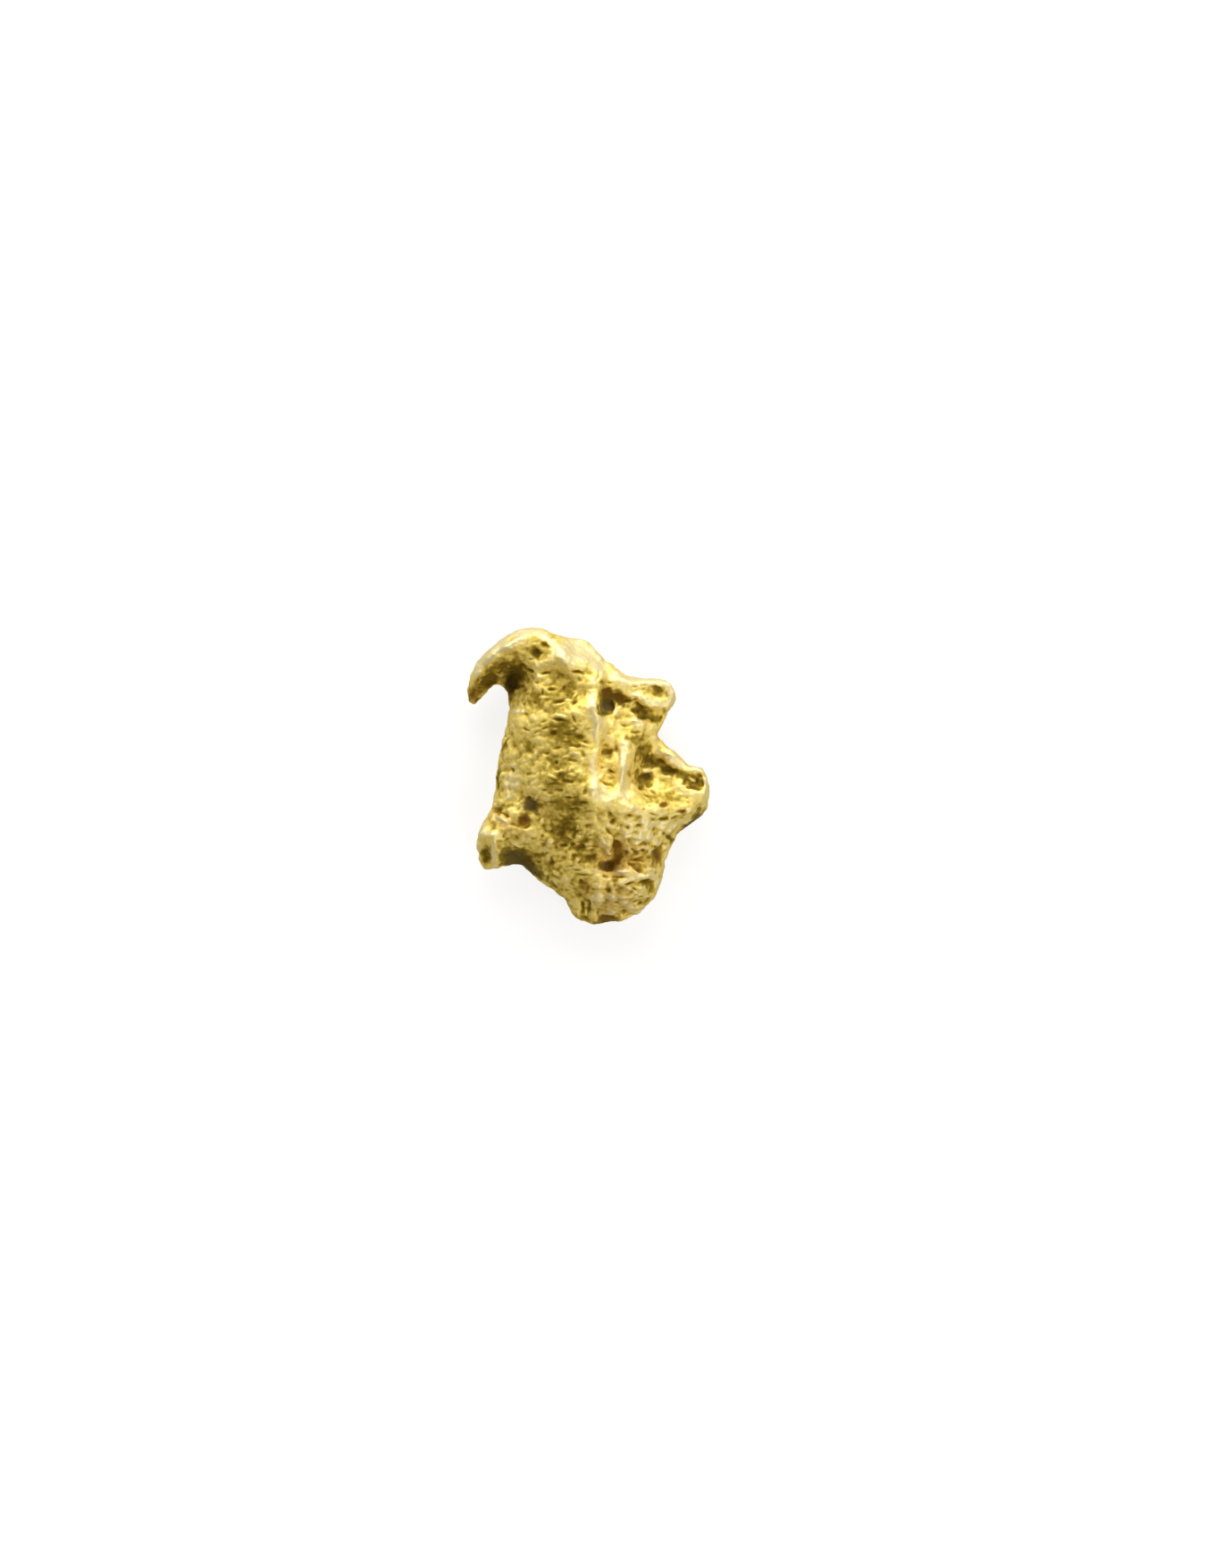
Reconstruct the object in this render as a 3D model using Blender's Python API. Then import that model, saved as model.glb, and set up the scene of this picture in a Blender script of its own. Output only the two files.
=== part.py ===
"""A small placer gold nugget, a little over 4 mm long, lying on its broad side.

The nugget is one solid lump of native gold. Its plan is a closed outline, and
its two broad faces are smooth surfaces laid through spot heights, as on a map.
Rims, steps and pits are added to the upper face, and knocks to the lower one.
The whole is skinned evenly, roughened, thinned out, and worn flat where it rests.

The shape is worked out in millimetres: +X to the right and +Y to the hooked end
as seen from above, +Z up. The last step makes it metres. What is drawn by hand
is plotted on squared paper, with x to the right, y down and heights in squares.
"""

import math

import bmesh
import bpy
import numpy as np
from mathutils import Matrix, Vector, noise

NAME = "nugget"
MM = 0.001
TRIANGLES = 8000

LENGTH = 4.16  # from the hooked end to the foot
SQUARES_LONG = 333  # the same length on the squared paper
SQUARE = LENGTH / SQUARES_LONG
PAPER_MIDDLE = (661, 868.5)  # the square over the origin

# Everything that stands or sinks is drawn for this share of its full height,
# which gives the lump the volume of 0.12 g of placer gold.
THICKNESS = 0.92
EDGE_ROUNDING = 0.30  # how far in from the outline the faces reach their height
SLAB = 0.12  # thickness of the flat blank that is drawn out into the lump
SKIN = 0.03  # length of a side of the even skin
WANDER = (0.17, 0.045)  # length and width of the wobble in every rim, step and pit
HAMMERING = ((0.60, 0.04), (0.25, 0.05), (0.12, 0.02))  # length and height of the knocks
WORN = 0.07  # what the stream has rubbed off the lowest points

# The outline seen from above, from the tip of the hook round by the crest, the
# arm, the lobe, the foot and the nub.
OUTLINE = [
    (531, 788), (525, 782), (524, 771), (527, 757), (533, 742), (545, 727), (558, 716),
    (573, 707), (588, 702), (604, 702), (618, 707), (632, 711), (648, 712), (661, 717),
    (668, 726), (675, 737), (688, 745), (700, 752), (712, 757), (729, 757), (744, 759),
    (753, 766), (757, 776), (757, 785), (749, 793), (745, 804), (739, 813), (736, 821),
    (741, 827), (751, 836), (762, 846), (771, 855), (783, 857), (791, 862), (796, 875),
    (797, 888), (794, 901), (785, 914), (774, 924), (761, 936), (756, 947), (748, 958),
    (746, 972), (741, 988), (733, 1004), (722, 1018), (709, 1027), (689, 1033),
    (671, 1035), (655, 1032), (642, 1023), (633, 1007), (620, 997), (604, 986),
    (591, 975), (575, 969), (563, 971), (554, 976), (545, 975), (537, 966), (534, 952),
    (535, 935), (541, 920), (549, 907), (554, 888), (555, 866), (560, 842), (566, 818),
    (569, 795), (568, 778), (563, 767), (556, 765), (549, 769), (542, 779),
]

# Heights of the upper face: x, y, height.
HOOK = [
    (531, 780, 50), (533, 765, 62), (541, 750, 74), (552, 736, 86), (567, 725, 95),
    (585, 716, 99), (546, 765, 56), (560, 750, 66),
]
CREST = [(603, 708, 88), (618, 716, 98), (630, 733, 110), (600, 728, 92), (590, 738, 88)]
CAP = [(645, 722, 80), (660, 735, 88), (645, 746, 110), (668, 748, 99), (686, 752, 80)]
UNDER_THE_HOOK = [(580, 753, 58), (573, 772, 46)]
TORSO = [
    (602, 762, 96), (630, 768, 101), (655, 768, 105), (664, 785, 111), (576, 800, 78),
    (573, 830, 74), (600, 800, 98), (630, 800, 107), (600, 840, 96), (630, 840, 108),
    (661, 840, 115), (592, 875, 92), (630, 880, 108), (664, 880, 117), (668, 800, 114),
    (603, 912, 82), (622, 905, 95), (645, 905, 105), (612, 940, 77), (640, 930, 91),
    (640, 955, 80), (665, 945, 86),
]
FLANK = [(567, 855, 64), (564, 880, 60), (583, 860, 86)]
SPINE = [
    (684, 842, 95), (684, 868, 97), (697, 860, 107), (692, 893, 113), (700, 905, 110),
    (697, 792, 74), (705, 815, 78), (702, 840, 92),
]
VALLEY = [(722, 825, 68), (729, 848, 54), (715, 870, 73), (726, 892, 82)]
ARM = [(700, 768, 80), (720, 762, 73), (722, 785, 66), (740, 765, 68), (752, 780, 61),
       (735, 800, 54)]
LOBE = [
    (745, 850, 62), (763, 864, 54), (785, 863, 60), (790, 880, 56), (760, 882, 60),
    (745, 900, 78), (775, 900, 66), (752, 918, 66), (728, 908, 92), (765, 925, 47),
    (738, 926, 75), (750, 940, 49),
]
WAIST = [
    (690, 925, 101), (715, 935, 88), (680, 950, 86), (700, 958, 77), (718, 958, 72),
    (735, 945, 62), (690, 970, 72),
]
FOOT = [
    (700, 980, 83), (725, 980, 74), (735, 990, 57), (718, 1002, 64), (700, 1000, 73),
    (680, 992, 76), (658, 985, 74), (650, 1008, 56), (670, 1020, 47), (700, 1020, 46),
    (724, 1010, 46),
]
NUB = [
    (560, 920, 66), (556, 935, 67), (545, 940, 61), (553, 955, 54), (543, 957, 46),
    (585, 935, 72), (576, 958, 36), (591, 963, 41), (605, 967, 56), (615, 977, 61),
    (630, 988, 64),
]
UPPER_FACE = [
    *HOOK, *CREST, *CAP, *UNDER_THE_HOOK, *TORSO, *FLANK, *SPINE, *VALLEY, *ARM, *LOBE,
    *WAIST, *FOOT, *NUB,
]

# Heights of the lower face, which is flatter: the belly, the foot and the crest
# come lowest, and the limbs lift clear of the ground.
LOWER_FACE = [
    (649, 868, 0), (613, 836, 4), (677, 828, 5), (617, 908, 5), (689, 900, 3),
    (689, 992, 2), (689, 1022, 17), (725, 996, 15), (653, 964, 11), (617, 744, 2),
    (613, 712, 24), (565, 731, 26), (541, 752, 23), (531, 779, 22), (665, 740, 19),
    (645, 788, 12), (709, 780, 21), (745, 776, 21), (725, 828, 22), (757, 876, 7),
    (785, 880, 14), (765, 918, 17), (733, 952, 19), (545, 952, 15), (565, 932, 10),
    (589, 958, 22), (621, 982, 21), (571, 852, 21), (573, 800, 24),
]

# Height at which the two faces meet along the outline.
SEAM = [
    (531, 780, 38), (570, 730, 58), (640, 725, 58), (700, 760, 54), (745, 775, 46),
    (735, 830, 48), (792, 875, 40), (750, 946, 32), (740, 990, 34), (680, 1025, 32),
    (610, 980, 33), (577, 966, 28), (545, 950, 38), (556, 870, 46), (566, 800, 48),
    (565, 771, 33), (782, 914, 27), (763, 932, 26), (650, 860, 48),
]

# Rolled rims and ribs: height, half width, line along the top.
RIMS = {
    "crest": (7, 9, [(570, 725), (585, 716), (602, 709), (616, 713), (627, 725), (636, 742)]),
    "back of the hook": (5, 9, [(532, 768), (537, 753), (548, 738), (565, 726)]),
    "edge of the torso": (7, 9, [
        (664, 760), (667, 785), (671, 810), (671, 832), (666, 858), (669, 885),
    ]),
    "spine": (8, 9, [(699, 824), (700, 848), (697, 872), (688, 892)]),
    "arm": (8, 7, [
        (690, 757), (712, 762), (735, 763), (749, 769), (754, 780), (746, 788), (731, 789),
        (717, 780),
    ]),
    "rib below the arm": (6, 6, [(690, 795), (704, 800), (720, 808), (735, 813)]),
    "lobe": (9, 7, [
        (736, 827), (750, 841), (764, 853), (778, 859), (789, 866), (792, 877), (788, 888),
    ]),
    "shelf": (4, 10, [
        (668, 899), (690, 905), (715, 904), (740, 908), (765, 911), (782, 906),
    ]),
    "rib on the waist": (6, 6, [(670, 926), (679, 938), (686, 956)]),
    "brow of the foot": (7, 8, [(688, 975), (700, 973), (714, 978), (728, 979), (739, 984)]),
    "nub": (8, 6, [(540, 931), (550, 935), (557, 948), (556, 966)]),
}

# Steps down on the left of a line: drop, width of the step, reach, line.
STEPS = {
    "below the crest and cap": (9, 6, 16, [(668, 751), (650, 750), (628, 749), (603, 747)]),
    "below the shelf": (4, 12, 30, [(745, 912), (720, 910), (695, 908), (668, 904)]),
    "along the flank": (7, 5, 12, [(572, 828), (578, 850), (577, 875), (579, 896)]),
}

# Pits: x, y, half length, half width, turn in degrees, depth.
UPPER_PITS = {
    "deep socket": (679, 786, 14, 24, 0, 23),
    "slot beside the socket": (696, 781, 18, 8, -14, 13),
    "eye of the crest": (604, 732, 11, 9, 0, 8),
    "hollow under the hook": (575, 763, 15, 24, -24, 16),
    "cup of the arm": (737, 774, 15, 10, -5, 10),
    "cup of the lobe": (778, 874, 17, 12, -20, 14),
    "gutter to the cup": (751, 860, 22, 10, -20, 12),
    "upper vug": (595, 901, 15, 14, 0, 11),
    "lower vug": (587, 917, 12, 11, 0, 8),
    "dent on the flank": (560, 905, 11, 6, 0, 9),
    "dent in the trough": (680, 842, 12, 10, 0, 9),
    "upper dent of the valley": (724, 853, 11, 8, 0, 9),
    "lower dent of the valley": (725, 872, 12, 11, 0, 10),
    "cavity in the waist": (737, 957, 10, 18, 0, 11),
    "upper end of the cleft": (692, 948, 10, 18, 8, 11),
    "lower end of the cleft": (682, 968, 15, 12, 20, 11),
    "dimple under the arm": (717, 793, 15, 8, -15, 8),
    "dimple beside it": (731, 803, 13, 8, -20, 9),
    "hollow of the foot": (724, 988, 16, 8, -5, 11),
    "end of the nub": (543, 953, 11, 18, 10, 7),
}
LOWER_PITS = {
    "fold behind the belly": (633, 800, 44, 9, 8, 12),
    "pocket under the arm": (711, 800, 13, 10, 30, 14),
    "vug beside the belly": (714, 860, 10, 14, 0, 13),
    "dent by the nub": (592, 926, 12, 8, -25, 11),
    "fold above the foot": (677, 947, 32, 8, -12, 10),
    "dent of the lobe": (765, 892, 9, 7, 20, 9),
    "knock on the crest": (585, 736, 10, 7, 40, 9),
}


def measured(drawn):
    """Points of the squared paper, and the heights that follow them, in millimetres."""
    points = np.array(drawn, float)
    points[:, 0] -= PAPER_MIDDLE[0]
    points[:, 1] = PAPER_MIDDLE[1] - points[:, 1]
    return SQUARE * points


def curve_through(points, closed=False, steps=8):
    """A smooth (Catmull-Rom) line through the points."""
    ends = [points[-1], *points, *points[:2]] if closed else [points[0], *points, points[-1]]
    knots = np.array(ends)
    line = []
    for before, start, end, after in zip(knots, knots[1:], knots[2:], knots[3:]):
        for t in np.arange(steps) / steps:
            line.append(
                start
                + 0.5 * t * (end - before)
                + t * t * (before - 2.5 * start + 2 * end - 0.5 * after)
                + 0.5 * t**3 * (3 * start - before - 3 * end + after)
            )
    if not closed:
        line.append(knots[-1])
    return np.array(line)


def nearest(plan, line):
    """How far each point of the plan is from the line, on which side (left is
    positive), and what share of the line lies before its nearest point."""
    distance = np.full(len(plan), np.inf)
    side = np.zeros(len(plan))
    share = np.zeros(len(plan))
    for index, (start, end) in enumerate(zip(line, line[1:])):
        along = end - start
        offset = plan - start
        part = np.clip(offset @ along / (along @ along), 0, 1)
        gap = np.hypot(*(offset - part[:, None] * along).T)
        closer = gap < distance
        distance[closer] = gap[closer]
        share[closer] = (index + part[closer]) / (len(line) - 1)
        side[closer] = np.sign(along[0] * offset[closer, 1] - along[1] * offset[closer, 0])
    return distance, side, share


def surface_through(spots, plan):
    """Heights over the plan of a thin bent plate that passes through the spots."""
    spots = measured(spots)
    places, heights = spots[:, :2], spots[:, 2]

    def bending(points):
        gap = np.linalg.norm(points[:, None] - places, axis=2)
        return gap**2 * np.log(np.maximum(gap, 1e-9))

    count = len(spots)
    flat = np.column_stack([np.ones(count), places])
    stiffness = np.zeros((count + 3, count + 3))
    stiffness[:count, :count] = bending(places)
    stiffness[:count, count:] = flat
    stiffness[count:, :count] = flat.T
    weights = np.linalg.solve(stiffness, [*heights, 0, 0, 0])
    return bending(plan) @ weights[:count] + weights[count] + plan @ weights[count + 1 :]


def mound(reach):
    """1 at the middle, falling smoothly to 0 where reach is 1."""
    return (1 - np.clip(reach, 0, 1) ** 2) ** 2


def rim(plan, height, half_width, line):
    distance, _, _ = nearest(plan, curve_through(measured(line)))
    return SQUARE * height * mound(distance / (SQUARE * half_width))


def step_down(plan, drop, width, reach, line):
    distance, side, share = nearest(plan, curve_through(measured(line)))
    left = distance * side / SQUARE
    lowered = 1 / (1 + np.exp(np.clip(-4 * left / width, -50, 50)))
    faded = np.exp(-((np.maximum(left, 0) / reach) ** 2))
    ends = np.clip(8 * np.minimum(share, 1 - share), 0, 1)
    return SQUARE * drop * lowered * faded * ends


def pit(plan, x, y, half_length, half_width, turn, depth):
    angle = math.radians(turn)
    offset = (plan - measured([(x, y)])) / SQUARE
    along = offset @ (math.cos(angle), math.sin(angle)) / half_length
    across = offset @ (-math.sin(angle), math.cos(angle)) / half_width
    return SQUARE * depth * mound(np.hypot(along, across))


def wandering(plan):
    """The plan bent a little everywhere, so that nothing drawn on it stays regular."""
    length, width = WANDER
    bent = [noise.noise_vector(Vector((x, y, 0)) / length)[:2] for x, y in plan]
    return plan + width * np.array(bent)


def upper_height(plan):
    bent = wandering(plan)
    height = surface_through(UPPER_FACE, plan)
    height += sum(rim(bent, *shape) for shape in RIMS.values())
    height -= sum(step_down(bent, *shape) for shape in STEPS.values())
    return height - sum(pit(bent, *shape) for shape in UPPER_PITS.values())


def lower_height(plan):
    bent = wandering(plan)
    return surface_through(LOWER_FACE, plan) + sum(pit(bent, *p) for p in LOWER_PITS.values())


def points_of(mesh):
    flat = np.empty(3 * len(mesh.vertices), np.float32)
    mesh.vertices.foreach_get("co", flat)
    return flat.reshape(-1, 3).astype(float)


def move_points(mesh, points):
    mesh.vertices.foreach_set("co", points.astype(np.float32).ravel())
    mesh.update()


def with_modifier(mesh, kind, **settings):
    """A new mesh: this one with one modifier applied."""
    helper = bpy.data.objects.new("helper", mesh)
    bpy.context.scene.collection.objects.link(helper)
    modifier = helper.modifiers.new(kind.title(), kind)
    for setting, value in settings.items():
        setattr(modifier, setting, value)
    graph = bpy.context.evaluated_depsgraph_get()
    made = bpy.data.meshes.new_from_object(helper.evaluated_get(graph))
    bpy.data.objects.remove(helper)
    return made


def skinned(mesh):
    return with_modifier(mesh, "REMESH", mode="VOXEL", voxel_size=SKIN)


def blank(outline):
    """A flat slab of the outline's shape."""
    bm = bmesh.new()
    corners = [bm.verts.new((x, y, -SLAB / 2)) for x, y in outline]
    floor = bm.faces.new(corners)
    top = bmesh.ops.extrude_face_region(bm, geom=[floor])["geom"]
    raised = [part for part in top if isinstance(part, bmesh.types.BMVert)]
    bmesh.ops.translate(bm, verts=raised, vec=(0, 0, SLAB))
    bmesh.ops.recalc_face_normals(bm, faces=bm.faces)
    mesh = bpy.data.meshes.new("blank")
    bm.to_mesh(mesh)
    bm.free()
    return skinned(mesh)


def draw_out(mesh, outline):
    """Raises the slab's top to the upper face and its bottom to the lower one,
    with an edge that is round from one face to the other."""
    points = points_of(mesh)
    plan = points[:, :2]
    inward, _, _ = nearest(plan, np.vstack([outline, outline[:1]]))
    rounding = np.sqrt(1 - (1 - np.clip(inward / EDGE_ROUNDING, 0, 1)) ** 2)
    seam = surface_through(SEAM, plan)
    level = np.clip(2 * points[:, 2] / SLAB, -1, 1)
    rise = np.where(level > 0, upper_height(plan) - seam, seam - lower_height(plan))
    points[:, 2] = THICKNESS * (seam + level * rounding * rise)
    move_points(mesh, points)


def hammer(mesh):
    """Small knocks all over, weaker round the edge, which keeps its outline."""
    points = points_of(mesh)
    for index, vertex in enumerate(mesh.vertices):
        place = Vector(points[index])
        knock = sum(height * noise.noise(place / length) for length, height in HAMMERING)
        points[index] += knock * (0.3 + 0.7 * abs(vertex.normal.z)) * np.array(vertex.normal)
    move_points(mesh, points)


def soften(mesh, times):
    bm = bmesh.new()
    bm.from_mesh(mesh)
    for _ in range(times):
        bmesh.ops.smooth_vert(
            bm, verts=bm.verts, factor=0.5, use_axis_x=True, use_axis_y=True, use_axis_z=True
        )
    bm.to_mesh(mesh)
    bm.free()


def thinned(mesh):
    mesh.calc_loop_triangles()
    share = TRIANGLES / len(mesh.loop_triangles)
    return with_modifier(mesh, "DECIMATE", ratio=share, use_collapse_triangulate=True)


def wear_flat(mesh):
    """Rubs the lowest points to one level, which becomes the ground, and puts
    the middle of the box over the origin."""
    points = points_of(mesh)
    points[:, 2] = np.maximum(points[:, 2], points[:, 2].min() + WORN)
    points -= (*(points.min(axis=0) + points.max(axis=0))[:2] / 2, points[:, 2].min())
    move_points(mesh, points)


def gold():
    material = bpy.data.materials.new("native_gold")
    material.use_nodes = True
    shader = material.node_tree.nodes["Principled BSDF"]
    shader.inputs["Base Color"].default_value = (0.90, 0.66, 0.22, 1)
    shader.inputs["Metallic"].default_value = 1.0
    shader.inputs["Roughness"].default_value = 0.4
    return material


def nugget():
    outline = curve_through(measured(OUTLINE), closed=True)
    mesh = blank(outline)
    draw_out(mesh, outline)
    mesh = skinned(mesh)
    soften(mesh, 2)
    hammer(mesh)
    mesh = thinned(skinned(mesh))
    wear_flat(mesh)
    mesh.transform(Matrix.Scale(MM, 4))
    mesh.shade_smooth()
    mesh.materials.append(gold())
    made = bpy.data.objects.new(NAME, mesh)
    bpy.context.scene.collection.objects.link(made)
    return made


for leftover in list(bpy.data.objects):
    bpy.data.objects.remove(leftover)
nugget()
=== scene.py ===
import math

import bmesh
import bpy
import numpy as np
from mathutils import Matrix, Vector, noise


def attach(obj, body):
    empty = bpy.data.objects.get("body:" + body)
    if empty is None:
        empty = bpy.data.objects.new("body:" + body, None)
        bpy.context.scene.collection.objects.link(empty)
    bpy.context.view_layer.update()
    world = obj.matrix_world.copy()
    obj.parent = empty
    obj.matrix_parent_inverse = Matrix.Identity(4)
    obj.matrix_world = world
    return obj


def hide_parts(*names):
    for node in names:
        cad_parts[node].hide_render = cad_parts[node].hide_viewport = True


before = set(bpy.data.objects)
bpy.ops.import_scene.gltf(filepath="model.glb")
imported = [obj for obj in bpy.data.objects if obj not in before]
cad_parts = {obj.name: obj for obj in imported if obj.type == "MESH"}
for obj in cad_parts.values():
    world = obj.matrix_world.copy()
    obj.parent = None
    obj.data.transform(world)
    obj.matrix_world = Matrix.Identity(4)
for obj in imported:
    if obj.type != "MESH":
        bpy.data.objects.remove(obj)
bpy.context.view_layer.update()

# The nugget
#
# A lump of native gold, rounded and hammered by a stream. It is one piece of metal,
# soft enough to take every knock, so its skin is all pits, flakes and wrinkles.
# It is worked on here in millimetres and made metres again at the end.

MM = 0.001
SKIN = 0.0197  # side of a square of the skin, in millimetres
SOFTENINGS = 9  # rounds of smoothing that take the facets of the solid out of the skin


def solid_in_millimetres(node):
    """A copy of the solid's mesh, enlarged from metres, with its facets joined up."""
    mesh = node.data.copy()
    bm = bmesh.new()
    bm.from_mesh(mesh)
    bmesh.ops.remove_doubles(bm, verts=bm.verts, dist=1e-4 * MM)
    bmesh.ops.scale(bm, verts=bm.verts, vec=(1 / MM, 1 / MM, 1 / MM))
    bm.to_mesh(mesh)
    bm.free()
    mesh.materials.clear()
    return mesh


def evenly_skinned(mesh):
    """The solid covered with small squares of one size."""
    holder = bpy.data.objects.new("holder", mesh)
    bpy.context.scene.collection.objects.link(holder)
    remesh = holder.modifiers.new("Skin", "REMESH")
    remesh.mode = "VOXEL"
    remesh.voxel_size = SKIN
    graph = bpy.context.evaluated_depsgraph_get()
    skin = bpy.data.meshes.new_from_object(holder.evaluated_get(graph))
    bpy.data.objects.remove(holder)
    return skin


def softened(mesh, times):
    bm = bmesh.new()
    bm.from_mesh(mesh)
    for _ in range(times):
        bmesh.ops.smooth_vert(
            bm, verts=bm.verts, factor=0.5, use_axis_x=True, use_axis_y=True, use_axis_z=True
        )
    bm.to_mesh(mesh)
    bm.free()


def places(mesh):
    flat = np.empty(3 * len(mesh.vertices), np.float32)
    mesh.vertices.foreach_get("co", flat)
    return flat.reshape(-1, 3).astype(float)


def facings(mesh):
    flat = np.empty(3 * len(mesh.vertices), np.float32)
    mesh.vertex_normals.foreach_get("vector", flat)
    return flat.reshape(-1, 3).astype(float)


def moved_outwards(mesh, distance):
    where = places(mesh) + distance[:, None] * facings(mesh)
    where[:, 2] = np.maximum(where[:, 2], 0)  # the worn face that it rests on stays flat
    mesh.vertices.foreach_set("co", where.astype(np.float32).ravel())
    mesh.update()


def roughness_of(where, length, stretch=(1, 1, 1)):
    """Smooth noise from about -1 to 1, with lumps of the given length."""
    scaled = where / (length * np.array(stretch))
    return np.array([noise.noise(Vector(place)) for place in scaled])


skin = evenly_skinned(solid_in_millimetres(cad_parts["nugget"]))
softened(skin, SOFTENINGS)

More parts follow.
